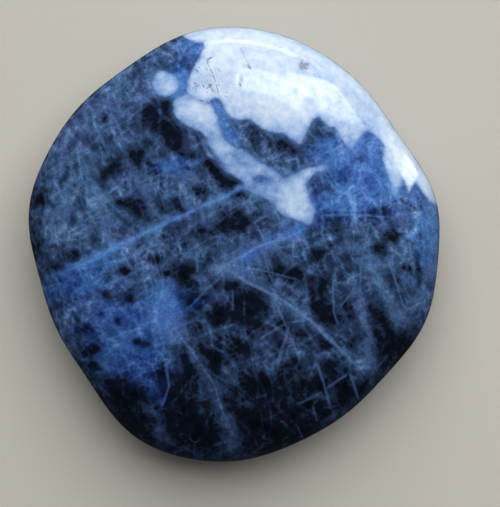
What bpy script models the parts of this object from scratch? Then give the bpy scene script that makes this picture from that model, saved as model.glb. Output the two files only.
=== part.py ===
"""A polished sodalite palm stone: one flattened, rounded solid that rests on a small flat spot.

Seen from above, its girdle is an uneven round. The crown rises from the girdle to a gently
domed face, and the belly falls from it to the flat spot, whose middle is the origin.
"""

import math

import bmesh
import bpy
from mathutils import Vector

MM = 0.001

# Reach of the girdle from the stone's middle, in millimetres, every 15 degrees anticlockwise from +X.
GIRDLE_REACH = [
    25.4, 25.5, 24.6, 24.9, 25.8, 26.6, 27.1, 26.9,
    26.0, 26.0, 26.1, 26.3, 25.6, 24.8, 24.8, 25.3,
    27.0, 27.5, 27.1, 26.1, 25.4, 24.9, 25.3, 25.5,
]

# Heights above and below the girdle, in millimetres, and the flat spot's share of the girdle's reach.
CROWN_HEIGHT = 7.4
BELLY_DEPTH = 7.0
FLAT_SPOT_SHARE = 0.36

# Above 2, the section has a flatter middle and rounder shoulders than an ellipse.
SECTION_POWER = 3.2

# Unevenness that hand polishing leaves on the crown: height and wavelength in millimetres,
# then direction and phase in degrees.
POLISH_WAVES = [(0.16, 47.0, 25.0, 40.0), (0.09, 31.0, 110.0, 200.0), (0.05, 19.0, 65.0, 300.0)]

# A natural pit in the crown's shoulder, in millimetres: its place in plan, and the ball that scoops it.
PIT_PLACE = (8.4, 22.1)
PIT_BALL_RADIUS = 1.1
PIT_BALL_CLEARANCE = 0.7

SEGMENTS = 80
CROWN_RINGS = 17
BELLY_RINGS = 13
STONE_COLOUR = (0.035, 0.085, 0.30, 1.0)


def girdle_reach(angle):
    """Reach of the girdle at an angle, on the smooth closed curve through the listed reaches."""
    count = len(GIRDLE_REACH)
    total = 0.0
    for index, reach in enumerate(GIRDLE_REACH):
        apart = angle - math.tau * index / count
        weight = 1.0 + math.cos(apart * count / 2)
        for wave in range(1, count // 2):
            weight += 2.0 * math.cos(wave * apart)
        total += reach * weight / count
    return total


def section_height(share):
    """Height of the section at a share of the girdle's reach: 1 in the middle, 0 at the girdle."""
    return math.sqrt(max(0.0, 1.0 - share**SECTION_POWER))


def section_share(turn):
    """Share of the girdle's reach after a turn down the section: 0 in the middle, 90 degrees at the girdle."""
    return math.sin(turn) ** (2.0 / SECTION_POWER)


def polish_wave(x, y):
    """Height of the hand-polished unevenness at a place in plan, in millimetres."""
    total = 0.0
    for height, wavelength, direction, phase in POLISH_WAVES:
        heading = math.radians(direction)
        along = x * math.cos(heading) + y * math.sin(heading)
        total += height * math.sin(math.tau * along / wavelength + math.radians(phase))
    return total


def flat_spot_depth():
    """Depth of the flat spot below the girdle, in millimetres."""
    return BELLY_DEPTH * section_height(FLAT_SPOT_SHARE)


def crown_height(x, y, share):
    """Height of the crown above the flat spot, in millimetres."""
    rise = (CROWN_HEIGHT + polish_wave(x, y)) * section_height(share)
    return flat_spot_depth() + rise


def belly_height(share):
    """Height of the belly above the flat spot, in millimetres."""
    return flat_spot_depth() - BELLY_DEPTH * section_height(share)


def plan_place(angle, share):
    reach = girdle_reach(angle) * share
    return reach * math.cos(angle), reach * math.sin(angle)


def add_ring(bm, share, is_crown):
    """Adds one ring of points round the stone, at a share of the girdle's reach."""
    ring = []
    for index in range(SEGMENTS):
        x, y = plan_place(math.tau * index / SEGMENTS, share)
        z = crown_height(x, y, share) if is_crown else belly_height(share)
        ring.append(bm.verts.new((x * MM, y * MM, z * MM)))
    return ring


def join_rings(bm, inner, outer):
    for index in range(SEGMENTS):
        following = (index + 1) % SEGMENTS
        bm.faces.new((inner[index], outer[index], outer[following], inner[following]))


def build_stone_mesh():
    """One closed surface: a fan on top, rings over the crown and the belly, and the flat spot."""
    bm = bmesh.new()
    quarter = math.pi / 2
    flat_turn = math.asin(FLAT_SPOT_SHARE ** (SECTION_POWER / 2.0))
    crown_shares = [section_share(quarter * k / CROWN_RINGS) for k in range(1, CROWN_RINGS + 1)]
    belly_shares = [
        section_share(quarter + (flat_turn - quarter) * k / BELLY_RINGS) for k in range(1, BELLY_RINGS + 1)
    ]
    rings = [add_ring(bm, share, True) for share in crown_shares]
    rings += [add_ring(bm, share, False) for share in belly_shares]
    top = bm.verts.new((0.0, 0.0, crown_height(0.0, 0.0, 0.0) * MM))
    for index in range(SEGMENTS):
        bm.faces.new((top, rings[0][index], rings[0][(index + 1) % SEGMENTS]))
    for inner, outer in zip(rings, rings[1:]):
        join_rings(bm, inner, outer)
    bm.faces.new(reversed(rings[-1]))
    mesh = bpy.data.meshes.new("palm_stone")
    bm.to_mesh(mesh)
    bm.free()
    mesh.shade_smooth()
    return mesh


def crown_point(x, y):
    """Point of the crown's surface above a place in plan, in millimetres."""
    share = math.hypot(x, y) / girdle_reach(math.atan2(y, x))
    return Vector((x, y, crown_height(x, y, share)))


def pit_cutter():
    """A ball held just off the crown's shoulder, so that only its lowest part cuts the stone."""
    x, y = PIT_PLACE
    step = 0.2
    slope_x = crown_point(x + step, y) - crown_point(x - step, y)
    slope_y = crown_point(x, y + step) - crown_point(x, y - step)
    outward = slope_x.cross(slope_y).normalized()
    bpy.ops.mesh.primitive_uv_sphere_add(
        segments=20,
        ring_count=12,
        radius=PIT_BALL_RADIUS * MM,
        location=(crown_point(x, y) + outward * PIT_BALL_CLEARANCE) * MM,
    )
    cutter = bpy.context.object
    cutter.name = "pit_cutter"
    cutter.hide_render = True
    cutter.display_type = "WIRE"
    return cutter


def stone_material():
    material = bpy.data.materials.new("polished_sodalite")
    material.use_nodes = True
    shader = material.node_tree.nodes["Principled BSDF"]
    shader.inputs["Base Color"].default_value = STONE_COLOUR
    shader.inputs["Roughness"].default_value = 0.12
    shader.inputs["Metallic"].default_value = 0.0
    return material


def build_palm_stone():
    mesh = build_stone_mesh()
    mesh.materials.append(stone_material())
    stone = bpy.data.objects.new("palm_stone", mesh)
    bpy.context.scene.collection.objects.link(stone)
    pit = stone.modifiers.new("pit", "BOOLEAN")
    pit.operation = "DIFFERENCE"
    pit.object = pit_cutter()


def main():
    for old in list(bpy.data.objects):
        bpy.data.objects.remove(old)
    build_palm_stone()


main()
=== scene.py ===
import math

import bpy
import numpy as np
from mathutils import Matrix, Vector


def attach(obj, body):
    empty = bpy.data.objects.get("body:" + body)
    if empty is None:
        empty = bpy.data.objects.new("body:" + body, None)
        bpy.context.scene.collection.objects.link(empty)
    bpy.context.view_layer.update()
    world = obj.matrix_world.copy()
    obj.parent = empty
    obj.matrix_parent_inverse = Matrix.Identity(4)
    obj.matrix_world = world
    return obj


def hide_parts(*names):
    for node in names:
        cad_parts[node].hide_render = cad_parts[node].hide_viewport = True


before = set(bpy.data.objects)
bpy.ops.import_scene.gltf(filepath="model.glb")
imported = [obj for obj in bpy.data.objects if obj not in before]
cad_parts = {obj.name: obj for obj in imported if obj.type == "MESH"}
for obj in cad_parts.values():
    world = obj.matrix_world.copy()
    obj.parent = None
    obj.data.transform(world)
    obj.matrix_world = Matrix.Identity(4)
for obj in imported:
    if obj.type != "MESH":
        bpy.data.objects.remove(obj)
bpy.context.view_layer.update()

# Looks of the polished sodalite palm stone. Lengths are in millimetres unless a name says otherwise.
# The stone's plan has +X to the photograph's right and +Y up it, with the resting spot's middle at 0, 0.
MM = 0.001

# Form, as in the construction: the girdle's reach every 15 degrees anticlockwise from +X, the heights
# above and below it, the flat spot's share of the reach, the section's power, and the waves that hand
# polishing left, by height, wavelength, direction and phase.
GIRDLE_REACH = [
    25.4, 25.5, 24.6, 24.9, 25.8, 26.6, 27.1, 26.9,
    26.0, 26.0, 26.1, 26.3, 25.6, 24.8, 24.8, 25.3,
    27.0, 27.5, 27.1, 26.1, 25.4, 24.9, 25.3, 25.5,
]
CROWN_HEIGHT = 7.4
BELLY_DEPTH = 7.0
FLAT_SPOT_SHARE = 0.36
SECTION_POWER = 3.2
POLISH_WAVES = [(0.16, 47.0, 25.0, 40.0), (0.09, 31.0, 110.0, 200.0), (0.05, 19.0, 65.0, 300.0)]
GIRDLE_LEVEL = BELLY_DEPTH * math.sqrt(1.0 - FLAT_SPOT_SHARE**SECTION_POWER)

# Ripples too fine for the construction, given as the waves are.
FINE_WAVES = [(0.006, 5.3, 15.0, 30.0), (0.005, 4.1, 80.0, 120.0), (0.004, 3.3, 140.0, 250.0)]

# Natural pits in the calcite: x, y, radius, depth.
PITS = [(8.4, 22.1, 0.85, 0.34), (9.5, 21.4, 0.35, 0.10), (1.5, 22.1, 0.30, 0.12), (0.5, 20.1, 0.30, 0.10)]

# Mesh: cells across the crown's square middle, then rings out to the girdle and under to the middle.
MIDDLE_CELLS = 156
MIDDLE_SHARE = 0.44
CROWN_RINGS = 72
BELLY_RINGS = 34

# Camera: the photograph's frame, its scale at the girdle, and the view straight down.
PHOTO_SIZE = (500, 507)
PHOTO_SCALE = 8.0
PHOTO_MIDDLE = (1.75, -1.19)
VIEW_DISTANCE = 300.0
SENSOR_WIDTH = 36.0

# Soft light: the turn and rise of its direction, its distance in metres, its radiance, and its edges
# (left, right, low and high) as slopes off that direction.
DAYLIGHT_TURN = 78.0
DAYLIGHT_RISE = 46.0
DAYLIGHT_DISTANCE = 0.9
DAYLIGHT_RADIANCE = 3.35
DAYLIGHT_EDGES = (-0.7, 0.8, -0.7, 0.7)

# Window that the polish mirrors: its direction and its distance in metres, then the roll, edges and
# radiance of each bright pane. Each pane hangs a step nearer than the one before, so that none share a plane.
WINDOW_TURN = 78.0
WINDOW_RISE = 33.0
WINDOW_DISTANCE = 0.8
PANE_STEP = 0.01
MIRRORED_PANES = [
    (6.0, (-0.08, 0.32, 0.17, 0.49), 7.0),
    (-45.0, (-0.02, 0.52, 0.17, 0.55), 7.0),
    (0.0, (-0.42, 0.42, -0.56, -0.38), 4.0),
    (-62.7, (0.50, 2.40, 0.722, 0.95), 8.0),
]

# Faint light from high on the left, given as the daylight is, then the even light of the room.
FILL_TURN = 200.0
FILL_RISE = 70.0
FILL_DISTANCE = 0.9
FILL_RADIANCE = 0.3
FILL_EDGES = (-0.7, 0.7, -0.7, 0.7)
ROOM_COLOUR = (0.85, 0.92, 1.0)
ROOM_RADIANCE = 0.025

# Floor: the reach of its square in metres, its colour and its roughness.
FLOOR_REACH = 1.5
FLOOR_COLOUR = (0.47, 0.45, 0.40)
FLOOR_ROUGHNESS = 0.9

# Where the calcite is milky white, and where it is cracked: x, y, length, width, turn in degrees, strength.
MILKY_ZONES = [
    (4.2, 16.6, 11.0, 4.6, -12, 0.95), (7.0, 21.5, 15.0, 6.0, -20, 0.8), (1.0, 26.4, 22.0, 3.6, 0, 0.8),
    (4.5, 24.0, 12.0, 2.6, -10, 0.7), (-2.6, 21.6, 9.0, 8.0, 0, 0.65),
    (16.5, 20.0, 5.0, 18.0, 42, 0.9), (14.0, 14.5, 3.0, 6.0, 20, 0.3), (21.8, 10.5, 2.4, 9.0, 25, 0.6),
    (-4.5, 16.9, 4.0, 3.4, -20, 0.72), (-1.8, 12.4, 2.6, 4.0, 45, 0.38), (1.8, 9.2, 3.0, 2.4, 0, 0.35),
    (7.4, 5.3, 4.0, 4.6, 0, 0.70), (9.6, 9.3, 3.0, 1.2, 20, 0.3), (-8.9, 19.9, 2.2, 2.6, 20, 0.28),
    (24.0, 6.5, 2.4, 8.0, 25, 0.7), (19.8, 9.2, 3.2, 8.0, 12, 0.55), (-0.9, 23.8, 6.0, 2.6, -10, 0.9),
    (20.3, 11.6, 1.8, 3.6, 25, 0.9),
]
CRACKED_ZONES = [(-3.6, 20.9, 6.5, 3.4, -62, 1.0), (-5.0, 19.4, 2.4, 2.4, 0, 0.8)]

# Outline of the white calcite cap, closed outside the stone so that it runs on over the rim.
CAP_OUTLINE = [
    (-10.0, 29.0), (-6.5, 25.8), (-5.2, 25.0), (-3.7, 24.9), (-4.5, 23.4), (-5.2, 22.0), (-5.9, 20.9),
    (-6.1, 19.8), (-6.3, 18.8), (-5.4, 17.6), (-3.6, 17.3), (-2.9, 18.0), (-1.9, 18.1), (-1.5, 17.4),
    (-1.5, 16.6), (-0.8, 15.8), (0.1, 15.3), (1.2, 15.5), (2.2, 15.5), (3.0, 14.8), (4.2, 13.9),
    (5.9, 13.8), (7.2, 12.8), (8.0, 12.2), (8.6, 13.2), (9.2, 14.8), (10.0, 15.9), (10.6, 15.8),
    (11.5, 14.7), (12.4, 14.7), (12.9, 13.2), (13.8, 12.1), (14.4, 11.6), (15.2, 12.4), (15.6, 13.0),
    (16.2, 14.4), (17.2, 13.8), (18.4, 12.5), (18.5, 11.4), (18.5, 10.4), (18.8, 9.0), (19.2, 7.8),
    (19.5, 6.6), (20.0, 5.9), (20.4, 6.9), (20.7, 8.1), (21.1, 7.3), (21.5, 6.4), (22.0, 7.2),
    (22.4, 7.7), (22.8, 7.1), (23.4, 6.1), (24.2, 5.2), (25.2, 4.6), (30.0, 4.0), (30.0, 30.0),
]

# Outline of the calcite arm that runs down from the cap, with the blob at its end.
ARM_OUTLINE = [
    (-7.8, 18.3), (-7.6, 16.1), (-6.0, 14.4), (-3.6, 13.6), (-3.2, 11.8), (-2.0, 10.1), (-0.9, 8.8),
    (0.8, 7.9), (0.8, 7.2), (1.5, 6.8), (2.6, 6.2), (3.8, 5.5), (4.6, 5.1), (5.4, 4.1), (6.6, 3.1),
    (8.1, 2.6), (9.0, 2.5), (9.8, 3.1), (9.9, 4.4), (9.2, 5.6), (8.9, 7.0), (9.1, 7.9), (10.0, 8.8),
    (11.1, 9.1), (11.6, 9.9), (10.6, 10.0), (10.0, 9.5), (8.6, 9.5), (7.4, 8.9), (6.0, 7.9), (5.5, 8.4),
    (5.0, 9.5), (3.2, 10.1), (2.2, 10.6), (1.1, 11.8), (-0.2, 12.1), (-1.4, 12.9), (-1.9, 14.4),
    (-2.4, 15.7), (-2.9, 16.9), (-3.2, 17.9), (-5.6, 18.9),
]
ROUND_SPOT = (-8.85, 19.95, 1.62)
BLUE_SPOT = (3.2, 8.0, 0.75, 0.42)

# Near-black cells: x, y, length, width, turn in degrees, strength.
DARK_CELLS = [
    (-9.4, 14.8, 4.6, 3.2, -40, 1.0), (-7.4, 12.1, 3.0, 2.0, -45, 0.9), (-8.2, 17.2, 2.6, 1.2, -10, 0.9),
    (-11.4, 16.8, 1.8, 1.3, 0, 0.6), (-12.4, 11.1, 2.7, 2.0, -70, 1.0), (-10.9, 12.6, 1.2, 1.0, 0, 0.7),
    (-16.4, 16.0, 1.9, 1.0, 80, 0.55), (-17.2, 11.8, 1.8, 1.5, 0, 0.5), (-15.0, 9.9, 1.7, 1.3, 0, 0.9),
    (-16.4, 8.8, 2.0, 1.6, 0, 0.7), (-21.5, 7.8, 1.4, 0.7, 80, 0.7), (-24.4, 5.8, 3.0, 1.3, 75, 0.95),
    (-15.8, 13.2, 1.2, 1.0, 0, 0.4), (-10.4, 9.8, 0.8, 0.6, 0, 0.7), (-10.0, 8.9, 0.8, 0.6, 0, 0.6),
    (-12.8, 5.1, 2.2, 1.2, 10, 0.95), (-11.8, 3.8, 2.6, 2.2, 0, 0.7), (-14.2, 5.4, 0.8, 0.8, 0, 0.6),
    (-20.2, 2.9, 1.4, 1.1, 0, 0.7), (-7.5, 4.9, 2.4, 1.2, -50, 0.95), (-9.2, 4.7, 1.6, 1.3, 0, 0.6),
    (-5.9, 4.4, 1.0, 0.7, 0, 0.8), (-4.7, 6.4, 1.5, 1.2, 0, 0.75), (-4.0, 5.2, 0.9, 0.8, 0, 0.8),
    (-2.4, 8.7, 4.2, 1.5, -50, 1.0), (0.0, 6.5, 2.0, 1.0, 0, 0.95), (-8.0, 2.6, 2.0, 1.2, 20, 0.8),
    (-4.0, 1.4, 2.6, 1.2, 15, 0.85), (-7.5, 21.8, 3.0, 1.6, 10, 0.5), (-12.0, 21.8, 1.8, 1.0, 30, 0.45),
    (0.6, 2.9, 3.6, 2.2, 0, 0.9), (-1.4, 2.4, 2.2, 1.6, 20, 0.8), (-19.7, -1.2, 2.4, 1.2, 25, 1.0),
    (-22.5, -2.8, 2.0, 1.6, 0, 0.8), (-13.9, -3.4, 1.6, 1.1, 10, 0.85), (-10.0, -2.2, 1.3, 1.1, 20, 0.9),
    (-9.1, -3.6, 1.6, 0.9, 0, 0.85), (-9.2, 0.9, 1.0, 0.7, 0, 0.8), (-7.5, 1.6, 0.9, 0.7, 0, 0.8),
    (-6.0, -3.4, 2.8, 2.4, 0, 0.95), (-3.5, -2.6, 1.5, 1.9, 0, 0.8), (-16.2, -6.4, 1.5, 1.0, 15, 0.9),
    (-13.6, -6.5, 2.4, 2.0, 10, 0.85), (-14.8, -9.4, 1.0, 0.8, 0, 0.75), (-16.8, -8.8, 0.8, 0.7, 0, 0.6),
    (-12.6, -9.4, 1.8, 1.6, 0, 0.45), (-12.2, -12.2, 1.0, 0.9, 0, 0.9), (-11.1, -12.2, 1.2, 0.9, 0, 0.9),
    (-18.0, -13.1, 1.8, 1.5, 30, 0.95), (-19.3, -10.7, 2.6, 2.2, 0, 0.7), (-17.9, -15.2, 1.6, 1.8, 0, 0.85),
    (-12.2, -14.0, 1.0, 0.7, 0, 0.5), (-9.2, -16.2, 1.6, 1.8, 0, 0.9), (-5.2, -7.0, 3.2, 2.4, 0, 0.95),
    (-7.2, -7.0, 1.0, 0.8, 0, 0.7), (-2.1, -9.1, 3.4, 1.9, 0, 1.0), (-6.5, -13.8, 1.8, 2.6, 0, 0.9),
    (-5.4, -16.2, 2.0, 2.2, 0, 1.0), (-2.9, -14.4, 3.0, 3.0, 0, 1.0), (-14.0, -19.0, 4.8, 3.2, -25, 1.0),
    (-7.2, -19.9, 3.2, 4.6, 0, 1.0), (-13.2, -22.6, 5.0, 3.0, -35, 0.95), (-0.3, -5.0, 1.9, 1.0, 10, 0.9),
    (-24.7, -0.1, 2.0, 4.0, 0, 0.6), (4.9, -3.6, 1.8, 1.5, 0, 0.85), (5.8, -3.2, 0.8, 0.7, 0, 0.9),
    (7.7, -3.9, 1.9, 2.0, 0, 1.0), (9.9, -1.4, 2.6, 1.6, 10, 0.8), (14.5, -1.7, 2.3, 2.4, 0, 0.75),
    (17.8, -0.6, 1.5, 2.0, 0, 0.75), (19.6, 0.9, 2.0, 1.5, 0, 0.75), (22.7, -2.5, 1.0, 2.6, 0, 0.8),
    (21.2, -2.8, 0.9, 0.9, 0, 0.6), (19.4, -4.6, 1.4, 3.2, 20, 0.85), (11.0, -4.5, 1.8, 2.2, 0, 0.9),
    (10.2, -7.4, 2.6, 3.4, 0, 1.0), (11.5, -9.2, 2.2, 2.0, 0, 0.9), (14.2, -8.0, 1.8, 2.8, 0, 0.7),
    (17.8, -8.5, 2.4, 3.8, 15, 1.0), (18.7, -11.4, 3.0, 2.6, 0, 0.9), (1.8, -7.0, 4.0, 3.8, 0, 1.0),
    (2.0, -10.0, 3.0, 2.0, 0, 0.7), (5.8, -10.0, 1.5, 1.2, 0, 0.8), (11.2, -12.4, 2.3, 1.5, -20, 0.85),
    (9.0, -10.9, 2.4, 1.2, -20, 0.6), (14.2, -12.2, 2.0, 1.4, 0, 0.7), (6.8, -14.9, 1.6, 1.2, 0, 0.95),
    (7.3, -15.9, 1.1, 1.1, 0, 0.8), (8.4, -18.0, 2.0, 1.6, 0, 1.0), (6.4, -17.3, 1.2, 1.2, 0, 0.8),
    (10.4, -17.3, 1.3, 2.4, 0, 0.95), (12.1, -15.9, 2.3, 1.6, 0, 0.95), (13.7, -18.4, 1.9, 2.8, 0, 0.95),
    (15.8, -17.7, 1.3, 2.4, 0, 0.95), (0.4, -13.0, 3.0, 2.2, 0, 0.9), (2.9, -18.0, 4.4, 3.2, 0, 1.0),
    (9.0, -20.2, 1.2, 1.0, 0, 0.9), (11.0, -20.8, 1.5, 1.2, 0, 0.8), (4.2, -23.0, 12.0, 5.0, 0, 0.95),
    (-4.8, -23.6, 4.0, 4.0, 0, 0.85), (20.5, -13.4, 3.0, 6.0, -30, 0.85), (2.2, 13.8, 3.0, 4.0, 25, 0.55),
    (6.8, 12.1, 3.4, 2.6, -20, 0.75), (10.0, 13.8, 2.4, 3.0, -15, 0.45), (10.5, 6.9, 2.8, 4.4, 15, 0.36),
    (13.6, 8.9, 2.2, 2.0, 0, 0.45), (-0.2, 7.9, 1.6, 1.4, 0, 1.0), (11.8, 2.9, 5.0, 1.8, 0, 0.6),
    (17.6, 4.2, 3.0, 2.0, 0, 0.5), (13.6, 1.1, 3.0, 1.6, 0, 0.5),
]

# Broad zones where the whole ground is darker: x, y, length, width, turn in degrees, strength. The thin zones
# along the lower, lower left and left rim are painted shade, a shadow and a dark reflection on the rim.
DARK_ZONES_AND_PAINTED_RIM_SHADE = [
    # Painted shade: the zone at -1.0, -27.2 here, and those at -17.0, -19.5 and -26.2, 0.0 below, darken the
    # rim as a shadow and a dark reflection would.
    (2.0, -21.5, 26.0, 11.0, 8, 0.85), (-1.0, -27.2, 26.0, 2.6, 0, 0.9),
    (-17.0, -19.5, 12.0, 2.4, -48, 0.8), (-26.2, 0.0, 2.6, 16.0, 0, 0.5), (20.8, 3.6, 6.0, 3.0, 0, 0.35),
    (6.5, -10.5, 20.0, 17.0, -30, 0.42), (18.5, -9.5, 8.0, 12.0, 25, 0.45),
    (-12.0, -20.0, 10.0, 8.0, -35, 0.7), (-5.0, -8.0, 7.0, 12.0, 10, 0.40), (0.0, 2.0, 9.0, 4.0, 15, 0.15),
    (-7.0, 13.5, 6.0, 8.0, 35, 0.35), (-11.5, 4.5, 10.0, 5.0, 20, 0.30),
    (-15.0, 14.0, 18.0, 13.0, 40, 0.25), (-21.5, -5.2, 7.0, 4.0, 25, 0.45),
    (-13.0, -4.0, 16.0, 9.0, 25, 0.15),
]

# Zones of bright, saturated blue: x, y, length, width, turn in degrees, strength.
BLUE_ZONES = [
    (16.1, 7.8, 9.0, 7.0, 0, 1.0), (12.6, 4.9, 5.0, 2.5, 0, 0.8), (-14.5, -10.8, 10.0, 8.0, -30, 0.85),
    (-13.2, -14.1, 5.5, 5.0, -20, 1.0), (-9.0, -7.8, 3.6, 4.6, 0, 1.0), (-20.0, -4.6, 7.5, 3.0, 25, 0.95),
    (-5.0, 24.2, 3.5, 2.2, -35, 0.9), (-1.4, 14.9, 5.5, 1.6, -60, 0.9), (11.8, 11.6, 4.5, 3.0, 0, 0.8),
    (16.8, 13.0, 3.4, 2.4, 0, 0.95), (8.0, 2.0, 5.0, 2.0, 25, 0.7), (1.8, -1.4, 4.0, 2.5, 30, 0.6),
    (24.0, 1.0, 3.5, 9.0, 0, 0.6), (-7.8, 9.8, 4.4, 2.2, 10, 0.8), (-10.0, -18.0, 2.4, 5.0, 15, 0.8),
    (3.2, 7.9, 2.4, 1.8, 0, 1.0), (-7.0, 20.0, 3.0, 5.0, 0, 0.8), (-5.6, -7.0, 3.0, 2.8, 0, 0.7),
]

# Zones of pale steel haze. The zone at 25.0, 0.5 is a pale band painted along the right rim, a painted
# reflection.
HAZE_AND_PAINTED_RIM_REFLECTION_ZONES = [
    (-14.8, 14.5, 16.0, 12.0, 40, 0.8), (-20.8, 7.6, 6.0, 11.0, 0, 0.5), (-16.0, 2.5, 4.0, 5.0, 0, 0.5),
    (1.8, -2.2, 9.0, 5.0, 20, 0.85), (6.4, -7.8, 4.4, 2.8, -35, 0.5), (1.0, -15.0, 6.0, 4.0, 0, 0.3),
    (-2.6, -18.2, 3.0, 3.0, 0, 0.3), (19.8, -2.6, 5.0, 4.0, 0, 0.35), (16.1, -15.6, 2.0, 2.0, 0, 0.9),
    (-9.0, -7.8, 3.6, 4.6, 0, 0.8), (-8.0, -9.8, 3.2, 4.0, 0, 0.8),
    # Painted reflection: the zone at 25.0, 0.5 lightens the band along the right rim.
    (25.0, 0.5, 2.4, 10.0, 0, 1.0), (15.0, 8.0, 9.0, 6.0, 0, 0.2),
    (-12.0, -9.0, 6.0, 4.0, 0, 0.4), (-18.4, -9.4, 2.6, 2.2, 0, 0.7), (10.3, 7.4, 2.0, 3.0, 0, 0.5),
]

# Broad soft veins: width, strength, and the points they run through. The last is a pale band painted along
# the right rim, a painted reflection.
BROAD_VEINS_AND_PAINTED_RIM_REFLECTION = [
    (1.0, 0.45, [(-4.5, -0.8), (-8.2, -2.2), (-13.2, -4.9), (-18.0, -7.8)]),
    (1.8, 0.42, [(8.6, 2.0), (5.5, 0.6), (2.5, -0.7), (-0.8, -2.8), (-1.8, -3.6)]),
    (0.6, 0.60, [(8.6, 2.0), (5.5, 0.7), (2.5, -0.5), (-0.8, -2.6), (-1.8, -3.5)]),
    (1.8, 0.55, [(-1.8, -2.8), (1.1, -4.5), (3.8, -5.6), (7.9, -8.7), (11.0, -11.4)]),
    (0.5, 0.90, [
        (-1.8, -2.8), (1.2, -4.6), (4.8, -6.5), (7.1, -8.1), (9.5, -9.6), (11.8, -12.0), (17.0, -17.1),
    ]),
    (2.2, 0.80, [(13.0, 1.8), (16.1, -1.9), (17.7, -4.3), (19.0, -7.0), (20.9, -9.6), (22.5, -10.1)]),
    (1.3, 0.75, [(14.9, -5.2), (15.6, -7.0), (16.1, -11.1), (16.5, -14.0), (15.9, -15.4)]),
    (0.9, 0.50, [(-6.6, -12.0), (-4.9, -15.1), (-2.8, -18.9), (-1.6, -22.0)]),
    (0.4, 0.95, [(-7.6, -10.0), (-6.6, -12.0), (-4.5, -14.9), (-2.6, -18.0), (-1.4, -21.2), (0.6, -26.4)]),
    (1.8, 1.6, [(15.9, -14.4), (16.0, -15.8)]),
    (2.6, 0.75, [(-8.8, -5.6), (-8.2, -9.5), (-7.4, -13.0)]),
    (1.8, 0.95, [(0.4, -2.0), (-1.6, -2.7), (-3.8, -3.4)]),
    (1.7, 0.75, [(-1.6, -21.0), (-0.9, -23.0), (-0.2, -26.6)]),
    (0.8, 0.55, [(-11.5, 14.2), (-9.4, 12.4), (-7.0, 10.5)]),
    (0.9, 0.60, [(-13.4, 10.0), (-11.4, 6.4), (-9.4, 3.2)]),
    (0.8, 0.55, [(-18.9, 9.0), (-16.6, 5.0), (-15.0, 1.6)]),
    (0.9, 0.45, [(-22.0, 12.0), (-21.4, 6.8), (-22.0, 2.0)]),
    # Painted reflection: the pale band along the right rim.
    (2.0, 0.95, [(24.8, 7.0), (25.2, 1.0), (24.9, -5.0)]),
]

# The long vein that runs from the arm of the calcite to the left rim.
LONG_VEIN = [
    (1.8, 7.6), (0.2, 6.9), (-2.0, 5.6), (-5.7, 4.1),
    (-8.9, 2.5), (-13.2, 0.6), (-18.0, -2.0), (-23.4, -4.2),
]

# Soft veins of bright blue: width, strength and points, as for the broad veins.
BLUE_VEINS = [
    (1.0, 0.85, LONG_VEIN),
    (2.0, 0.25, [(1.6, 6.6), (-5.8, 3.6), (-8.9, 2.2), (-13.3, 0.3), (-17.0, -1.5), (-22.0, -3.6)]),
    (0.7, 0.30, [(-5.0, 2.6), (-9.2, 0.8), (-14.0, -1.6), (-19.0, -4.0), (-24.4, -6.4)]),
    (1.6, 0.80, [(-6.9, 21.6), (-6.8, 19.8), (-7.0, 18.0)]),
    (1.0, 0.60, [(-2.3, 17.6), (-2.0, 15.2), (-0.6, 13.0), (0.8, 12.0)]),
    (1.2, 0.40, [(8.8, 2.4), (5.6, 0.9), (3.4, -0.2)]),
    (1.0, 0.50, [(11.6, 9.9), (13.6, 11.0), (15.4, 11.6)]),
]

# How far the fields of the hairlines reach, in half widths.
HAIR_REACH = 5.0

# Hairline veins, steep and slanted ones apart because they cross: half width, strength and points.
STEEP_HAIRS = [
    (0.13, 1.0, [(-3.0, -2.0), (1.2, -4.6), (4.8, -6.5), (9.5, -9.6), (11.8, -12.0), (17.4, -17.5)]),
    (0.13, 0.8, [(12.1, -3.4), (12.2, -8.5), (12.8, -10.4)]),
    (0.13, 0.8, [(18.7, -1.6), (20.0, -5.0), (21.3, -8.6)]),
    (0.14, 0.9, [(10.1, -14.8), (11.0, -17.5), (11.7, -20.2)]),
    (0.14, 0.9, [(13.9, -15.9), (15.4, -19.6)]),
    (0.12, 0.7, [(-4.9, -0.6), (-4.8, -3.6)]),
    (0.12, 0.7, [(-3.0, -1.4), (-1.8, -3.6)]),
    (0.12, 0.7, [(-0.4, -5.6), (-0.5, -8.5)]),
    (0.12, 0.7, [(9.5, -20.2), (10.2, -22.4)]),
    (0.13, 0.6, [(-18.6, 8.8), (-18.4, 5.6)]),
    (0.13, 0.6, [(-22.4, 9.9), (-22.9, 4.6)]),
    (0.13, 0.6, [(-20.6, 11.0), (-20.4, 6.5)]),
    (0.13, 0.6, [(-16.4, 5.2), (-15.4, -0.5)]),
    (0.13, 0.7, [(4.6, -6.6), (6.6, -11.4), (8.2, -15.0)]),
    (0.12, 0.6, [(16.9, 3.4), (15.9, -1.2), (15.4, -6.2)]),
    (0.12, 0.6, [(20.4, 1.2), (22.3, -3.8)]),
    (0.12, 0.6, [(3.4, -1.0), (4.6, -5.0)]),
    (0.12, 0.5, [(-10.6, -0.8), (-9.6, -4.4)]),
    (0.12, 0.6, [(7.6, -22.6), (8.6, -25.0)]),
]
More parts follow.
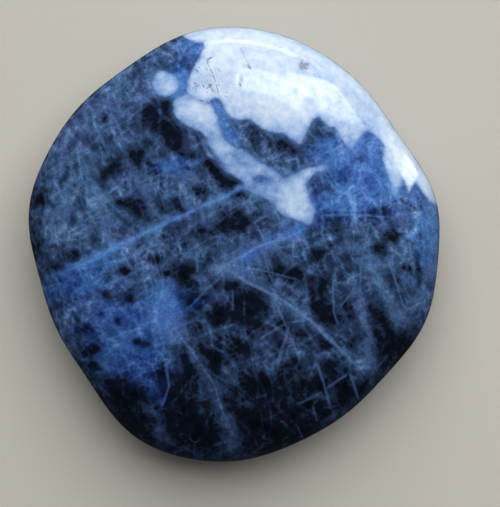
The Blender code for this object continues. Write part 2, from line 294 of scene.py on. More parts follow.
SLANTED_HAIRS = [
    (0.13, 0.9, [(11.2, -18.1), (13.9, -16.2)]),
    (0.13, 1.0, [(9.4, 2.3), (5.5, 0.7), (2.5, -0.5), (-1.2, -2.7), (-3.0, -4.0)]),
    (0.15, 0.7, LONG_VEIN),
    (0.16, 0.8, [(6.6, -9.6), (5.8, -12.9), (5.1, -15.8)]),
    (0.14, 0.8, [(-9.4, -20.8), (-8.3, -17.7), (-8.8, -14.2)]),
    (0.12, 0.7, [(10.0, 3.6), (19.9, 3.5)]),
    (0.14, 0.8, [(7.6, -20.1), (9.5, -19.3), (10.9, -18.4)]),
    (0.12, 0.7, [(-1.5, -2.6), (3.6, -3.4), (8.4, -4.6)]),
    (0.12, 0.6, [(-17.4, -5.6), (-13.8, -4.2), (-10.2, -2.0)]),
    (0.12, 0.6, [(-13.0, 7.4), (-9.4, 8.6), (-6.4, 8.4)]),
    (0.12, 0.6, [(-6.4, -8.6), (-3.6, -5.4), (-1.6, -3.8)]),
    (0.12, 0.6, [(12.4, -8.6), (14.6, -6.0), (15.2, -4.0)]),
    (0.12, 0.6, [(2.4, -12.2), (6.2, -9.8), (9.2, -9.4)]),
    (0.12, 0.6, [(-17.0, -12.2), (-13.8, -11.0), (-11.0, -10.6)]),
]

# Greyer streaks that dull the calcite's white: width, strength and points.
GREY_STREAKS = [
    (0.9, 0.4, [(-0.5, 24.6), (3.4, 24.0), (7.6, 23.4), (11.6, 21.4)]),
    (0.9, 0.6, [(5.4, 20.6), (8.4, 21.4), (12.6, 20.4)]),
    (0.8, 0.6, [(1.0, 22.6), (1.6, 21.8), (4.0, 21.6)]),
    (1.0, 0.5, [(12.4, 18.6), (14.6, 19.2), (17.4, 16.4)]),
    (0.9, 1.2, [(-6.2, 18.4), (-4.5, 18.0), (-2.4, 17.5)]),
    (1.0, 0.3, [(19.2, 12.6), (19.2, 10.4), (20.0, 8.0), (20.2, 6.2)]),
    (1.4, 0.55, [(-0.6, 17.2), (1.8, 16.2), (4.4, 15.6), (7.0, 14.3), (7.8, 13.4)]),
    (0.5, 0.7, [(0.8, 16.2), (2.6, 17.4), (4.0, 17.0)]),
    (0.5, 0.7, [(3.6, 15.2), (5.4, 16.0), (6.8, 15.2)]),
    (0.7, 0.5, [(-5.2, 15.2), (-3.4, 14.4), (-0.8, 11.4), (2.6, 9.0)]),
]

# Dark hairline cracks and specks in the calcite: half width, strength and points.
DARK_HAIRS = [
    (0.12, 0.9, [(-4.9, 18.1), (-3.4, 17.7), (-2.2, 18.0)]),
    (0.13, 0.9, [(-4.2, 23.5), (-3.5, 23.0), (-3.0, 23.4)]),
    (0.09, 0.8, [(-3.8, 23.6), (-3.5, 22.2), (-3.0, 21.3), (-2.6, 20.2), (-2.2, 18.3)]),
    (0.12, 0.9, [(-5.1, 21.9), (-4.7, 21.3)]),
    (0.09, 0.9, [(-5.3, 19.6), (-5.0, 19.1)]),
    (0.08, 0.9, [(-4.4, 20.4), (-4.1, 19.5)]),
    (0.08, 0.9, [(-3.8, 20.7), (-3.3, 19.7), (-2.8, 18.9)]),
    (0.08, 0.8, [(-3.9, 19.4), (-3.0, 20.0)]),
    (0.08, 0.8, [(-2.4, 22.0), (-2.0, 21.4)]),
    (0.14, 0.9, [(0.4, 20.4), (0.6, 19.6)]),
    (0.06, 0.6, [(0.5, 25.2), (1.1, 23.6), (1.7, 22.2)]),
    (0.14, 0.9, [(1.3, 22.5), (2.0, 21.7)]),
]

# Pale veils along the stone's fracture directions: turn in degrees, length, width, strength.
VEILS = [
    (27.0, 7.0, 0.60, 0.11), (-38.0, 6.0, 0.65, 0.11), (-62.0, 6.0, 0.55, 0.12), (-86.0, 5.0, 0.55, 0.08),
]

# Fine straight veins between them: turn in degrees, length and width of the net's meshes, strength.
FINE_VEINS = [(-80.0, 10.0, 2.4, 0.12), (26.0, 9.0, 2.6, 0.10), (-42.0, 10.0, 3.0, 0.10)]

# Nets of irregular cells in the ground: turn in degrees, stretch along and across it, and cells per
# millimetre. Then how much paler the cells' walls are.
WIDE_NET = (-76.0, 1.35, 0.85, 0.50)
FINE_NET = (32.0, 1.25, 0.85, 1.05)
WALL_PALENESS = 0.09

# Sideways drift that keeps the nets from being ruled.
DRIFT = 1.8

# Colours as seen, 0 to 255, from darkest to palest: the greyish ground, the bright ground and the calcite.
STEEL_TONES = [
    (0.0, (1, 2, 4)), (0.2, (14, 21, 36)), (0.4, (38, 56, 87)),
    (0.6, (64, 91, 133)), (0.8, (98, 127, 170)), (1.0, (150, 178, 212)),
]
BRIGHT_TONES = [
    (0.0, (2, 4, 12)), (0.2, (15, 29, 68)), (0.4, (38, 69, 130)),
    (0.6, (66, 106, 170)), (0.8, (100, 143, 200)), (1.0, (150, 184, 222)),
]
CALCITE_TONES = [
    (0.0, (82, 118, 174)), (0.3, (124, 154, 198)), (0.6, (164, 186, 215)), (1.0, (200, 212, 226)),
]
FRINGE_COLOUR = (70, 104, 160)
CRACK_COLOUR = (16, 36, 84)
PIT_COLOUR = (96, 108, 126)

# The ground's slight drift of hue, as shares of red, green and blue: towards violet, and towards teal.
VIOLET_TINGE = (1.05, 0.975, 1.01)
TEAL_TINGE = (0.96, 1.025, 0.98)

# Polish: roughness of the sodalite, what the calcite and the flaws add to it, and the gloss.
SODALITE_ROUGHNESS = 0.06
CALCITE_ROUGHER = 0.04
FLAW_ROUGHER = 0.6
GLOSS_IOR = 1.49


def smooth(low, high, value):
    """0 below low, 1 above high and a soft step between them."""
    share = np.clip((value - low) / (high - low), 0.0, 1.0)
    return share * share * (3.0 - 2.0 * share)


def girdle_reach(angle):
    """Reach of the girdle at each angle, on the smooth closed curve through the listed reaches."""
    count = len(GIRDLE_REACH)
    apart = angle[:, None] - math.tau * np.arange(count) / count
    weight = 1.0 + np.cos(apart * count / 2)
    for wave in range(1, count // 2):
        weight += 2.0 * np.cos(wave * apart)
    return weight @ np.array(GIRDLE_REACH) / count


def section_height(share):
    return np.sqrt(np.clip(1.0 - share**SECTION_POWER, 0.0, 1.0))


def wave_height(x, y, waves):
    total = np.zeros_like(x)
    for height, wavelength, direction, phase in waves:
        heading = math.radians(direction)
        along = x * math.cos(heading) + y * math.sin(heading)
        total += height * np.sin(math.tau * along / wavelength + math.radians(phase))
    return total


def even_shares(start, end, count, height):
    """Shares of the girdle's reach from start to end, spaced evenly along the section's curve."""
    turn = np.linspace(0.0, math.pi / 2, 2000)
    share = np.sin(turn) ** (2.0 / SECTION_POWER)
    step = np.hypot(np.diff(share) * np.mean(GIRDLE_REACH), np.diff(height * np.cos(turn)))
    walked = np.concatenate([[0.0], np.cumsum(step)])
    stops = np.linspace(np.interp(start, share, walked), np.interp(end, share, walked), count)
    return np.interp(stops, walked, share)


def square_ring_place(a, b, share, roundness):
    """Angle and share of points on a square ring, once the ring is pressed part or all of the way round."""
    ring = np.maximum(np.abs(a), np.abs(b))
    ring = np.where(ring == 0, 1, ring)
    wide = np.abs(a) >= np.abs(b)
    quotient = np.where(wide, b, a) / np.where(wide, np.where(a == 0, 1, a), b)
    angle = np.where(wide, quotient * math.pi / 4, math.pi / 2 - quotient * math.pi / 4)
    angle = angle + np.where(np.where(wide, a, b) < 0, math.pi, 0.0)
    across = (1.0 - roundness) * a / ring + roundness * np.cos(angle)
    up = (1.0 - roundness) * b / ring + roundness * np.sin(angle)
    return np.arctan2(up, across), share * np.hypot(across, up)


def stone_points():
    """Angle, share and side of every point, and the faces: a square grid, rings round it, a pole below."""
    half = MIDDLE_CELLS // 2
    a, b = [grid.ravel() for grid in np.meshgrid(np.arange(-half, half + 1), np.arange(-half, half + 1))]
    ring = np.maximum(np.abs(a), np.abs(b))
    levels = half + CROWN_RINGS
    round_by = 0.75 * levels
    angle, share = square_ring_place(a, b, MIDDLE_SHARE * ring / half, smooth(0.0, round_by, ring * 1.0))
    side = [np.ones(len(a))]
    angles = [angle]
    shares = [share]

    row = MIDDLE_CELLS + 1
    grid = np.arange(row * row).reshape(row, row)
    faces = np.stack([grid[:-1, :-1], grid[:-1, 1:], grid[1:, 1:], grid[1:, :-1]], axis=-1).reshape(-1, 4)
    quads = [faces]
    loop = np.concatenate([grid[0, :-1], grid[:-1, -1], grid[-1, :0:-1], grid[:0:-1, 0]])
    edge_a = a[loop]
    edge_b = b[loop]
    stops = even_shares(MIDDLE_SHARE, 1.0, CROWN_RINGS + 1, CROWN_HEIGHT)[1:]
    under = even_shares(0.0, 1.0, BELLY_RINGS + 1, BELLY_DEPTH)[-2:0:-1]
    count = row * row
    for index, stop in enumerate(np.concatenate([stops, under])):
        level = half + 1 + index
        roundness = smooth(0.0, round_by, min(level, levels) * 1.0)
        angle, share = square_ring_place(edge_a, edge_b, stop, roundness)
        angles.append(angle)
        shares.append(share)
        side.append(np.full(len(loop), 1.0 if level <= levels else -1.0))
        new_loop = np.arange(count, count + len(loop))
        quads.append(np.stack([loop, new_loop, np.roll(new_loop, -1), np.roll(loop, -1)], axis=-1))
        loop = new_loop
        count += len(loop)
    angles.append(np.zeros(1))
    shares.append(np.zeros(1))
    side.append(-np.ones(1))
    fan = [[first, count, second] for first, second in zip(loop, np.roll(loop, -1))]
    faces = np.concatenate(quads).tolist() + fan
    return np.concatenate(angles), np.concatenate(shares), np.concatenate(side), faces


def stone_surface(angle, share, side):
    """Coordinates of the points, before the pits."""
    reach = girdle_reach(angle) * share
    x = reach * np.cos(angle)
    y = reach * np.sin(angle)
    height = section_height(share)
    crown = (CROWN_HEIGHT + wave_height(x, y, POLISH_WAVES) + wave_height(x, y, FINE_WAVES)) * height
    belly = np.minimum(BELLY_DEPTH * height, GIRDLE_LEVEL)
    return x, y, GIRDLE_LEVEL + np.where(side > 0, crown, -belly)


def pit_depth(x, y):
    depth = np.zeros_like(x)
    for pit_x, pit_y, radius, deep in PITS:
        away = np.hypot(x - pit_x, y - pit_y) / radius
        depth = np.maximum(depth, deep * np.clip(1.0 - away**2, 0.0, 1.0) ** 0.7)
    return depth


def wobble(x, y, size, reach):
    """Smooth sideways shift that keeps the markings from being ruled or round."""
    shift_x = np.zeros_like(x)
    shift_y = np.zeros_like(x)
    for turn in range(6):
        heading = 1.0 + 2.4 * turn
        wave = math.tau / (size * (1.0 + 0.35 * turn))
        along = (x * math.cos(heading) + y * math.sin(heading)) * wave
        shift_x += np.sin(along + 1.7 * turn)
        shift_y += np.cos(along * 1.1 + 0.6 * turn)
    return x + shift_x * reach / 3.0, y + shift_y * reach / 3.0


def rounded(outline, rounds=1):
    """Cuts an outline's corners, so that it runs in soft bends."""
    points = np.array(outline)
    for _ in range(rounds):
        following = np.roll(points, -1, axis=0)
        points = np.stack([0.75 * points + 0.25 * following, 0.25 * points + 0.75 * following], axis=1)
        points = points.reshape(-1, 2)
    return points


def inside_depth(x, y, outline):
    """Distance to a closed outline: positive inside it, negative outside."""
    points = rounded(outline)
    nearest = np.full_like(x, 1e6)
    inside = np.zeros(len(x), dtype=bool)
    for (ax, ay), (bx, by) in zip(points, np.roll(points, -1, axis=0)):
        run_x = bx - ax
        run_y = by - ay
        share = np.clip(((x - ax) * run_x + (y - ay) * run_y) / (run_x**2 + run_y**2), 0.0, 1.0)
        nearest = np.minimum(nearest, np.hypot(x - ax - share * run_x, y - ay - share * run_y))
        crosses = (ay > y) != (by > y)
        rise = run_y if abs(run_y) > 1e-9 else 1e-9
        inside ^= crosses & (x < ax + run_x * (y - ay) / rise)
    return np.where(inside, nearest, -nearest)


def spot_strength(x, y, spots):
    """Strength of soft-edged ellipses at each place, joined where they meet."""
    left = np.ones_like(x)
    for spot_x, spot_y, length, width, turn, strength in spots:
        heading = math.radians(turn)
        along = (x - spot_x) * math.cos(heading) + (y - spot_y) * math.sin(heading)
        across = (y - spot_y) * math.cos(heading) - (x - spot_x) * math.sin(heading)
        away = (2.0 * along / length) ** 2 + (2.0 * across / width) ** 2
        left *= 1.0 - strength * np.exp(-0.6 * away)
    return 1.0 - left


def vein_place(x, y, points):
    """Signed distance from a vein's line, and how far from its ends the nearest place is, 0 to 1."""
    nearest = np.full_like(x, 1e6)
    fade = np.zeros_like(x)
    pieces = len(points) - 1
    for index, ((ax, ay), (bx, by)) in enumerate(zip(points, points[1:])):
        run_x = bx - ax
        run_y = by - ay
        share = np.clip(((x - ax) * run_x + (y - ay) * run_y) / (run_x**2 + run_y**2), 0.0, 1.0)
        off_x = x - ax - share * run_x
        off_y = y - ay - share * run_y
        away = np.hypot(off_x, off_y) * np.where(off_x * run_y - off_y * run_x < 0, -1.0, 1.0)
        closer = np.abs(away) < np.abs(nearest)
        nearest = np.where(closer, away, nearest)
        along = (index + share) / pieces
        fade = np.where(closer, smooth(0.0, 0.15, along) * smooth(0.0, 0.15, 1.0 - along), fade)
    return nearest, fade


def broad_strength(x, y, veins):
    total = np.zeros_like(x)
    for width, strength, points in veins:
        away, fade = vein_place(x, y, points)
        total = np.maximum(total, strength * (0.35 + 0.65 * fade) * np.exp(-((1.7 * away / width) ** 2)))
    return total


def hair_fields(x, y, hairs):
    """For each place, the signed distance from the nearest hairline in half widths, and its strength."""
    offset = np.full_like(x, HAIR_REACH)
    weight = np.zeros_like(x)
    for half_width, strength, points in hairs:
        away, fade = vein_place(x, y, points)
        across = np.clip(away / half_width, -HAIR_REACH, HAIR_REACH)
        near = strength * fade * (1.0 - smooth(2.0, 4.0, np.abs(across)))
        stronger = np.abs(across) < np.abs(offset)
        offset = np.where(stronger, across, offset)
        weight = np.where(stronger, near, weight)
    return offset, weight


def marking_place(x, y, z):
    """Where the crown's markings are read: straight down on the crown, slanting on under the girdle."""
    over = z - GIRDLE_LEVEL
    under = np.clip(-over, 0.0, None)
    nearer = 1.0 + np.clip(over, 0.0, None) / VIEW_DISTANCE
    mark_x = PHOTO_MIDDLE[0] + (x - PHOTO_MIDDLE[0]) * nearer
    mark_y = PHOTO_MIDDLE[1] + (y - PHOTO_MIDDLE[1]) * nearer
    far_x, far_y = wobble(mark_x, mark_y, 14.0, 3.0)
    share = under / GIRDLE_LEVEL
    mark_x += 0.9 * under + (far_x - mark_x) * share
    mark_y -= 0.7 * under + (mark_y - far_y) * share
    return mark_x, mark_y


def add_field(mesh, name, values):
    layer = mesh.attributes.new(name, "FLOAT", "POINT")
    layer.data.foreach_set("value", values.astype(np.float32))


def calcite_inside(x, y):
    """Distance to the calcite's outline: positive inside it, negative outside."""
    cap = inside_depth(x, y, CAP_OUTLINE)
    arm = inside_depth(x, y, ARM_OUTLINE)
    spot_x, spot_y, spot_radius = ROUND_SPOT
    spot = spot_radius - np.hypot(x - spot_x, y - spot_y)
    hole_x, hole_y, hole_long, hole_wide = BLUE_SPOT
    hole = (np.hypot((x - hole_x) / hole_long, (y - hole_y) / hole_wide) - 1.0) * hole_wide
    return np.minimum(np.maximum(np.maximum(cap, arm), spot), hole)


def add_markings(mesh, x, y, z):
    """Stores where each mineral lies, as smooth fields on the surface."""
    mark_x, mark_y = marking_place(x, y, z)
    soft_x, soft_y = wobble(mark_x, mark_y, 2.6, 0.16)
    rough_x, rough_y = wobble(mark_x, mark_y, 2.0, 0.30)
    hair_x, hair_y = wobble(mark_x, mark_y, 5.0, 0.12)
    add_field(mesh, "calcite", calcite_inside(soft_x, soft_y))
    # Painted light in these fields: the shade field holds the painted shade along the left and lower rim, and
    # the haze field holds a pale band painted along the right rim as a reflection.
    zones = {
        "dark": DARK_CELLS, "shade": DARK_ZONES_AND_PAINTED_RIM_SHADE, "blue": BLUE_ZONES,
        "haze_and_rim_reflection": HAZE_AND_PAINTED_RIM_REFLECTION_ZONES, "milk": MILKY_ZONES, "cracked": CRACKED_ZONES,
    }
    for name, spots in zones.items():
        add_field(mesh, name, spot_strength(rough_x, rough_y, spots))
    # The vein field also holds the pale band painted along the right rim, a painted reflection.
    for name, veins in (("vein", BROAD_VEINS_AND_PAINTED_RIM_REFLECTION), ("blue_vein", BLUE_VEINS), ("grey", GREY_STREAKS)):
        add_field(mesh, name, broad_strength(soft_x, soft_y, veins))
    for name, hairs in (("steep", STEEP_HAIRS), ("slanted", SLANTED_HAIRS), ("crack", DARK_HAIRS)):
        offset, weight = hair_fields(hair_x, hair_y, hairs)
        add_field(mesh, name + "_offset", offset)
        add_field(mesh, name + "_weight", weight)


def make_stone():
    angle, share, side, faces = stone_points()
    x, y, z = stone_surface(angle, share, side)
    pits = np.where(side > 0, pit_depth(x, y), 0.0)
    mesh = bpy.data.meshes.new("palm_stone_polished")
    mesh.from_pydata((np.stack([x, y, z], axis=1) * MM).tolist(), [], faces)
    normals = np.empty(len(x) * 3, dtype=np.float32)
    mesh.vertices.foreach_get("normal", normals)
    places = np.stack([x, y, z], axis=1) - normals.reshape(-1, 3) * pits[:, None]
    mesh.vertices.foreach_set("co", (places * MM).astype(np.float32).ravel())
    mesh.update()
    mesh.shade_smooth()
    add_markings(mesh, x, y, z)
    add_field(mesh, "pit", pits / PITS[0][3])
    stone = bpy.data.objects.new("palm_stone_polished", mesh)
    bpy.context.scene.collection.objects.link(stone)
    return stone


def seen_part(part):
    share = part / 255
    return ((share + 0.055) / 1.055) ** 2.4 if part > 10 else share / 12.92


def seen(colour):
    """Shader colour of a colour given as seen, 0 to 255."""
    return tuple(seen_part(part) for part in colour)


class Shade:
    """Short names for the shader nodes that the stone's material is built from."""

    def __init__(self, material):
        material.use_nodes = True
        self.tree = material.node_tree
        self.tree.nodes.clear()

    def node(self, kind, **settings):
        made = self.tree.nodes.new(kind)
        for name, value in settings.items():
            setattr(made, name, value)
        return made

    def feed(self, socket, value):
        if isinstance(value, bpy.types.NodeSocket):
            self.tree.links.new(value, socket)
        elif value is not None:
            socket.default_value = value

    def math(self, operation, first, second=None, third=None, clamp=False):
        made = self.node("ShaderNodeMath", operation=operation, use_clamp=clamp)
        for socket, value in zip(made.inputs, (first, second, third)):
            self.feed(socket, value)
        return made.outputs[0]

    def add(self, first, second):
        return self.math("ADD", first, second)

    def times(self, first, second):
        return self.math("MULTIPLY", first, second)

    def dimmed(self, value, factor, share):
        """The value, less a share of itself where the factor is 1."""
        return self.times(value, self.math("MULTIPLY_ADD", factor, -share, 1.0))

    def towards(self, value, goal, share):
        """The value moved by a share of the way to a goal."""
        return self.add(value, self.times(self.math("SUBTRACT", goal, value), share))

    def step(self, value, low, high):
        """0 below low, 1 above high and a soft step between them."""
        made = self.node("ShaderNodeMapRange", interpolation_type="SMOOTHSTEP")
        self.feed(made.inputs["Value"], value)
        made.inputs["From Min"].default_value = low
        made.inputs["From Max"].default_value = high
        return made.outputs["Result"]

    def line(self, away, inner, outer):
        """1 up to the inner distance from a line, 0 beyond the outer one and a soft step between them."""
        return self.math("SUBTRACT", 1.0, self.step(away, inner, outer))

    def vector(self, operation, first, second):
        made = self.node("ShaderNodeVectorMath", operation=operation)
        self.feed(made.inputs[0], first)
        self.feed(made.inputs[1], second)
        return made.outputs[0]

    def field(self, name):
        return self.node("ShaderNodeAttribute", attribute_name=name).outputs["Fac"]

    def noise(self, place, scale, detail=3.0, roughness=0.5, output=0):
        made = self.node("ShaderNodeTexNoise")
        self.feed(made.inputs["Vector"], place)
        made.inputs["Scale"].default_value = scale
        made.inputs["Detail"].default_value = detail
        made.inputs["Roughness"].default_value = roughness
        return made.outputs[output]

    def centred(self, value, reach):
        """A noise value of 0 to 1 as a shift either way, of about reach."""
        return self.times(self.add(value, -0.5), 2.0 * reach)

    def cell_edge(self, place, scale=1.0):
        """Distance to the nearest wall of a net of irregular cells."""
        made = self.node("ShaderNodeTexVoronoi", feature="DISTANCE_TO_EDGE")
        self.feed(made.inputs["Vector"], place)
        made.inputs["Scale"].default_value = scale
        return made.outputs["Distance"]

    def laid(self, place, turn, length, width):
        """Coordinates that count lengths along a turn in plan, and widths across it."""
        made = self.node("ShaderNodeMapping", vector_type="TEXTURE")
        self.feed(made.inputs["Vector"], place)
        made.inputs["Rotation"].default_value = (0.0, 0.0, math.radians(turn))
        made.inputs["Scale"].default_value = (length, width, length)
        return made.outputs["Vector"]

    def ramp(self, value, stops):
        made = self.node("ShaderNodeValToRGB")
        self.feed(made.inputs["Fac"], value)
        elements = made.color_ramp.elements
        while len(elements) < len(stops):
            elements.new(0.5)
        for element, (position, colour) in zip(elements, stops):
            element.position = position
            element.color = (*seen(colour), 1.0)
        return made.outputs["Color"]

    def blend(self, factor, first, second):
        made = self.node("ShaderNodeMix", data_type="RGBA")
        self.feed(made.inputs["Factor"], factor)
        for socket, value in ((made.inputs[6], first), (made.inputs[7], second)):
            self.feed(socket, (*value, 1.0) if isinstance(value, tuple) else value)
        return made.outputs[2]


def net_wall(shade, bent, net):
    turn, along, across, cells = net
    return shade.cell_edge(shade.laid(bent, turn, along, across), cells)


def mottled_tone(shade, place, wide_wall, fine_wall, patchy):
    """How pale the bare ground is, 0 to 1: mottle, hollows inside the cells, veils and placed zones, among
    them a pale band painted along the right rim as a reflection.
    """
    tone = shade.add(0.52, shade.centred(shade.noise(place, 0.30, 2.0, 0.5), 0.12))
    tone = shade.add(tone, shade.centred(shade.noise(place, 0.8, 2.0, 0.5), 0.30))
    tone = shade.add(tone, shade.times(shade.step(wide_wall, 0.0, 0.42), -0.18))
    hollow = shade.times(shade.step(fine_wall, 0.0, 0.40), patchy)
    tone = shade.add(tone, shade.times(hollow, -0.13))
    for turn, length, width, strength in VEILS:
        veil = shade.noise(shade.laid(place, turn, length, width), 1.0, 2.0, 0.45)
        tone = shade.add(tone, shade.times(shade.step(veil, 0.46, 0.74), strength))
    tone = shade.towards(tone, 0.49, shade.times(shade.field("blue"), 0.6))
    # The haze field lifts the pale band painted along the right rim, a painted reflection.
    tone = shade.towards(tone, 0.60, shade.times(shade.field("haze_and_rim_reflection"), 0.5))
    return shade.math("SMOOTH_MAX", tone, 0.06, 0.30)


def darkened_tone(shade, place, tone):
    """The tone under the placed dark cells and dark zones, with the painted shade along the left and lower
    rim.
    """
    dark = shade.add(shade.field("dark"), shade.centred(shade.noise(place, 1.1, 1.0, 0.5), 0.34))
    tone = shade.dimmed(tone, shade.step(dark, -0.12, 1.05), 0.86)
    # Painted shade: this field also darkens the left and lower rim as a shadow would.
    return shade.dimmed(tone, shade.field("shade"), 0.60)


def netted_tone(shade, place, bent, tone, walls, patchy):
    """The tone with fine straight veins and with pale lines along the cells' walls."""
    for turn, length, width, strength in FINE_VEINS:
        line = shade.line(shade.cell_edge(shade.laid(bent, turn, length, width)), 0.0, 0.10)
        broken = shade.step(shade.noise(shade.laid(place, turn, 3.0, 1.0), 0.6, 2.0), 0.40, 0.62)
        tone = shade.add(tone, shade.times(shade.times(line, broken), strength))
    for wall in walls:
        line = shade.line(wall, 0.0, 0.14)
        tone = shade.add(tone, shade.times(shade.times(line, patchy), WALL_PALENESS))
    return tone


def hairlines(shade, place):
    """Strength of the placed hairline veins, 0 to 1."""
    total = 0.0
    for name in ("steep", "slanted"):
        offset = shade.add(shade.field(name + "_offset"), shade.centred(shade.noise(place, 3.0), 0.6))
        line = shade.line(shade.math("ABSOLUTE", offset), 0.0, 2.2)
        total = shade.math("MAXIMUM", total, shade.times(line, shade.field(name + "_weight")))
    return shade.times(total, 0.7)


def veined_tone(shade, place, tone):
    """The tone with the placed veins drawn towards their own paleness, and with a pale band painted along the
    right rim as a reflection.
    """
    streaky = shade.step(shade.noise(place, 1.0, 3.0, 0.58), 0.30, 0.64)
    streaky = shade.math("MULTIPLY_ADD", streaky, 0.50, 0.50)
    # The vein field also holds the pale band painted along the right rim.
    for name in ("vein", "blue_vein"):
        tone = shade.towards(tone, 0.68, shade.times(shade.field(name), streaky))
    return shade.towards(tone, 0.72, hairlines(shade, place))


def grainy_tone(shade, place, tone):
    """The tone with fine grain, which is weaker where the ground is dark."""
    grain = shade.centred(shade.noise(place, 3.0, 3.0, 0.6), 0.15)
    grain = shade.add(grain, shade.centred(shade.noise(place, 8.0, 1.0, 0.5), 0.08))
    tone = shade.add(tone, shade.times(grain, shade.math("MULTIPLY_ADD", tone, 1.4, 0.35)))
    return shade.math("MAXIMUM", tone, 0.0)


def sodalite_tone(shade, place, bent):
    """How pale the blue ground is, 0 to 1."""
    walls = [net_wall(shade, bent, net) for net in (WIDE_NET, FINE_NET)]
    patchy = shade.step(shade.noise(place, 0.5, 2.0), 0.36, 0.64)
    patchy = shade.dimmed(patchy, shade.field("haze_and_rim_reflection"), 0.5)
    tone = mottled_tone(shade, place, *walls, patchy)
    tone = darkened_tone(shade, place, tone)
    tone = netted_tone(shade, place, bent, tone, walls, patchy)
    return grainy_tone(shade, place, veined_tone(shade, place, tone))


def sodalite_colour(shade, place, bent):
    tone = sodalite_tone(shade, place, bent)
    hue = shade.add(shade.field("blue"), shade.times(shade.field("blue_vein"), 0.7))
    hue = shade.add(hue, shade.centred(shade.noise(place, 0.8, 3.0), 0.60))
    hue = shade.step(hue, 0.10, 0.85)
    colour = shade.blend(hue, shade.ramp(tone, STEEL_TONES), shade.ramp(tone, BRIGHT_TONES))
    tinge = shade.step(shade.noise(place, 0.28, 2.0), 0.40, 0.60)
    return shade.vector("MULTIPLY", colour, shade.blend(tinge, VIOLET_TINGE, TEAL_TINGE))


def calcite_colour(shade, place, depth):
    """Calcite: bluish and clear where it is thin, and milky white where it is thick."""
    cloud = shade.centred(shade.noise(place, 0.9, 5.0, 0.66), 0.60)
    milk = shade.math("MULTIPLY_ADD", shade.field("milk"), 0.82, 0.12)
    milk = shade.add(milk, shade.add(cloud, shade.times(shade.field("grey"), -0.28)))
    milk = shade.times(milk, shade.math("MULTIPLY_ADD", shade.step(depth, 0.0, 0.8), 0.45, 0.55))
    return shade.ramp(milk, CALCITE_TONES)


def crack_marks(shade, place, bent):
    """Dark hairline cracks and specks: placed ones, and a broken net where the cap is cracked."""
    offset = shade.add(shade.field("crack_offset"), shade.centred(shade.noise(place, 6.0), 1.2))
    placed = shade.times(shade.line(shade.math("ABSOLUTE", offset), 0.3, 1.3), shade.field("crack_weight"))
    placed = shade.times(placed, shade.step(shade.noise(place, 1.7, 2.0), 0.32, 0.50))
    net = shade.line(shade.cell_edge(bent, 1.1), 0.01, 0.07)
    net = shade.times(net, shade.step(shade.noise(place, 1.6, 3.0), 0.57, 0.63))
    speck = shade.step(shade.noise(place, 3.6, 2.0), 0.69, 0.73)
    marks = shade.times(shade.math("MAXIMUM", net, speck), shade.step(shade.field("cracked"), 0.25, 0.6))
    return shade.math("MAXIMUM", placed, marks)


def pit_grey(shade, place):
    """Strength of the grey in and round the pits, 0 to 1, stronger where they are deeper."""
    ragged = shade.math("MULTIPLY_ADD", shade.noise(place, 3.0, 3.0), 1.2, -0.5)
    return shade.times(shade.step(shade.add(ragged, shade.field("pit")), 0.3, 1.0), 0.8)


def calcite_depth(shade, place):
    """Distance to the calcite's ragged edge: positive inside it, negative outside."""
    ragged = shade.add(
        shade.centred(shade.noise(place, 1.1, 4.0, 0.65), 0.32),
        shade.centred(shade.noise(place, 5.0, 2.0), 0.12),
    )
    return shade.add(shade.field("calcite"), ragged)


def stone_places(shade):
    """Places on the stone in millimetres, straight ones and ones bent by a slow drift."""
    place = shade.node("ShaderNodeTexCoord").outputs["Object"]
    place = shade.vector("MULTIPLY", place, (1.0 / MM,) * 3)
    drift = shade.vector("SUBTRACT", shade.noise(place, 0.25, 1.0, 0.5, output=1), (0.5,) * 3)
    return place, shade.vector("ADD", place, shade.vector("MULTIPLY", drift, (DRIFT,) * 3))


def stone_material():
    material = bpy.data.materials.new("polished_sodalite_and_calcite")
    shade = Shade(material)
    place, bent = stone_places(shade)
    depth = calcite_depth(shade, place)
    calcite = shade.step(depth, -0.14, 0.30)
    crack = shade.times(crack_marks(shade, place, bent), calcite)
    pit = pit_grey(shade, place)

    ground = sodalite_colour(shade, place, bent)
    fringe = shade.times(shade.step(depth, -0.8, 0.0), 0.30)
    ground = shade.blend(fringe, ground, seen(FRINGE_COLOUR))
    colour = shade.blend(calcite, ground, calcite_colour(shade, place, depth))
    colour = shade.blend(shade.times(crack, 0.8), colour, seen(CRACK_COLOUR))
    colour = shade.blend(pit, colour, seen(PIT_COLOUR))
    rough = shade.math("MULTIPLY_ADD", calcite, CALCITE_ROUGHER, SODALITE_ROUGHNESS)
    rough = shade.add(rough, shade.times(shade.math("MAXIMUM", crack, pit), FLAW_ROUGHER))

    shader = shade.node("ShaderNodeBsdfPrincipled")
    shade.feed(shader.inputs["Base Color"], colour)
    shade.feed(shader.inputs["Roughness"], rough)
    shader.inputs["IOR"].default_value = GLOSS_IOR
    output = shade.node("ShaderNodeOutputMaterial")
    shade.feed(output.inputs["Surface"], shader.outputs["BSDF"])
    return material


def plain_material(name, colour, roughness):
    material = bpy.data.materials.new(name)
    material.use_nodes = True
    shader = material.node_tree.nodes["Principled BSDF"]
    shader.inputs["Base Color"].default_value = (*colour, 1.0)
    shader.inputs["Roughness"].default_value = roughness
    return material


def make_floor():
    mesh = bpy.data.meshes.new("floor")
    corners = [(FLOOR_REACH * x, FLOOR_REACH * y, 0) for x, y in ((-1, -1), (1, -1), (1, 1), (-1, 1))]
    mesh.from_pydata(corners, [], [(0, 1, 2, 3)])
    mesh.materials.append(plain_material("pale_floor", FLOOR_COLOUR, FLOOR_ROUGHNESS))
    floor = bpy.data.objects.new("floor", mesh)
    floor.visible_glossy = False
    bpy.context.scene.collection.objects.link(floor)


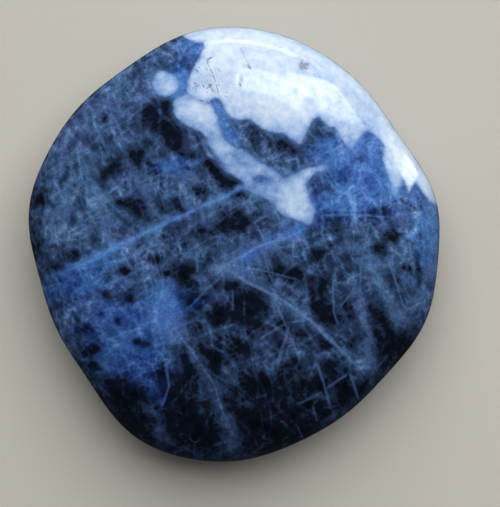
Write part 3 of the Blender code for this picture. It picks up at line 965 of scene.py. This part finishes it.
def make_panel(name, turn, rise, distance, edges, radiance, roll=0.0, mirrored=False):
    """A rectangular light that faces the stone. It lights it softly, or else shows only in its polish."""
    left, right, low, high = edges
    turn = math.radians(turn)
    rise = math.radians(rise)
    away = Vector((math.cos(turn) * math.cos(rise), math.sin(turn) * math.cos(rise), math.sin(rise)))
    rolled = Matrix.Rotation(math.radians(-roll), 3, away)
    across = rolled @ Vector((math.sin(turn), -math.cos(turn), 0.0))
    up = across.cross(away)
    light = bpy.data.lights.new(name, "AREA")
    light.shape = "RECTANGLE"
    light.size = (right - left) * distance
    light.size_y = (high - low) * distance
    light.energy = radiance * math.pi * light.size * light.size_y
    panel = bpy.data.objects.new(name, light)
    panel.location = distance * (away + across * (left + right) / 2 + up * (low + high) / 2)
    panel.rotation_euler = Matrix((-across, up, away)).transposed().to_euler()
    panel.visible_glossy = mirrored
    panel.visible_diffuse = not mirrored
    bpy.context.scene.collection.objects.link(panel)


def make_lights():
    make_panel("daylight", DAYLIGHT_TURN, DAYLIGHT_RISE, DAYLIGHT_DISTANCE, DAYLIGHT_EDGES, DAYLIGHT_RADIANCE)
    for number, (roll, edges, radiance) in enumerate(MIRRORED_PANES):
        name = f"pane_{number}"
        distance = WINDOW_DISTANCE - PANE_STEP * (number + 1)
        make_panel(name, WINDOW_TURN, WINDOW_RISE, distance, edges, radiance, roll, mirrored=True)
    make_panel("fill", FILL_TURN, FILL_RISE, FILL_DISTANCE, FILL_EDGES, FILL_RADIANCE)


def make_room_light():
    world = bpy.data.worlds.new("room")
    bpy.context.scene.world = world
    world.use_nodes = True
    background = world.node_tree.nodes["Background"]
    background.inputs["Color"].default_value = (*ROOM_COLOUR, 1.0)
    background.inputs["Strength"].default_value = ROOM_RADIANCE


def make_camera():
    data = bpy.data.cameras.new("camera")
    camera = bpy.data.objects.new("camera", data)
    bpy.context.scene.collection.objects.link(camera)
    camera.location = Vector((*PHOTO_MIDDLE, GIRDLE_LEVEL + VIEW_DISTANCE)) * MM
    data.sensor_width = SENSOR_WIDTH
    data.lens = SENSOR_WIDTH * VIEW_DISTANCE / (max(PHOTO_SIZE) / PHOTO_SCALE)
    data.clip_start = 0.01
    bpy.context.scene.camera = camera


make_camera()
make_lights()
make_room_light()
make_floor()
bpy.context.scene.view_settings.view_transform = "Standard"
stone = make_stone()
stone.data.materials.append(stone_material())
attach(stone, "root")
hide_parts("palm_stone")
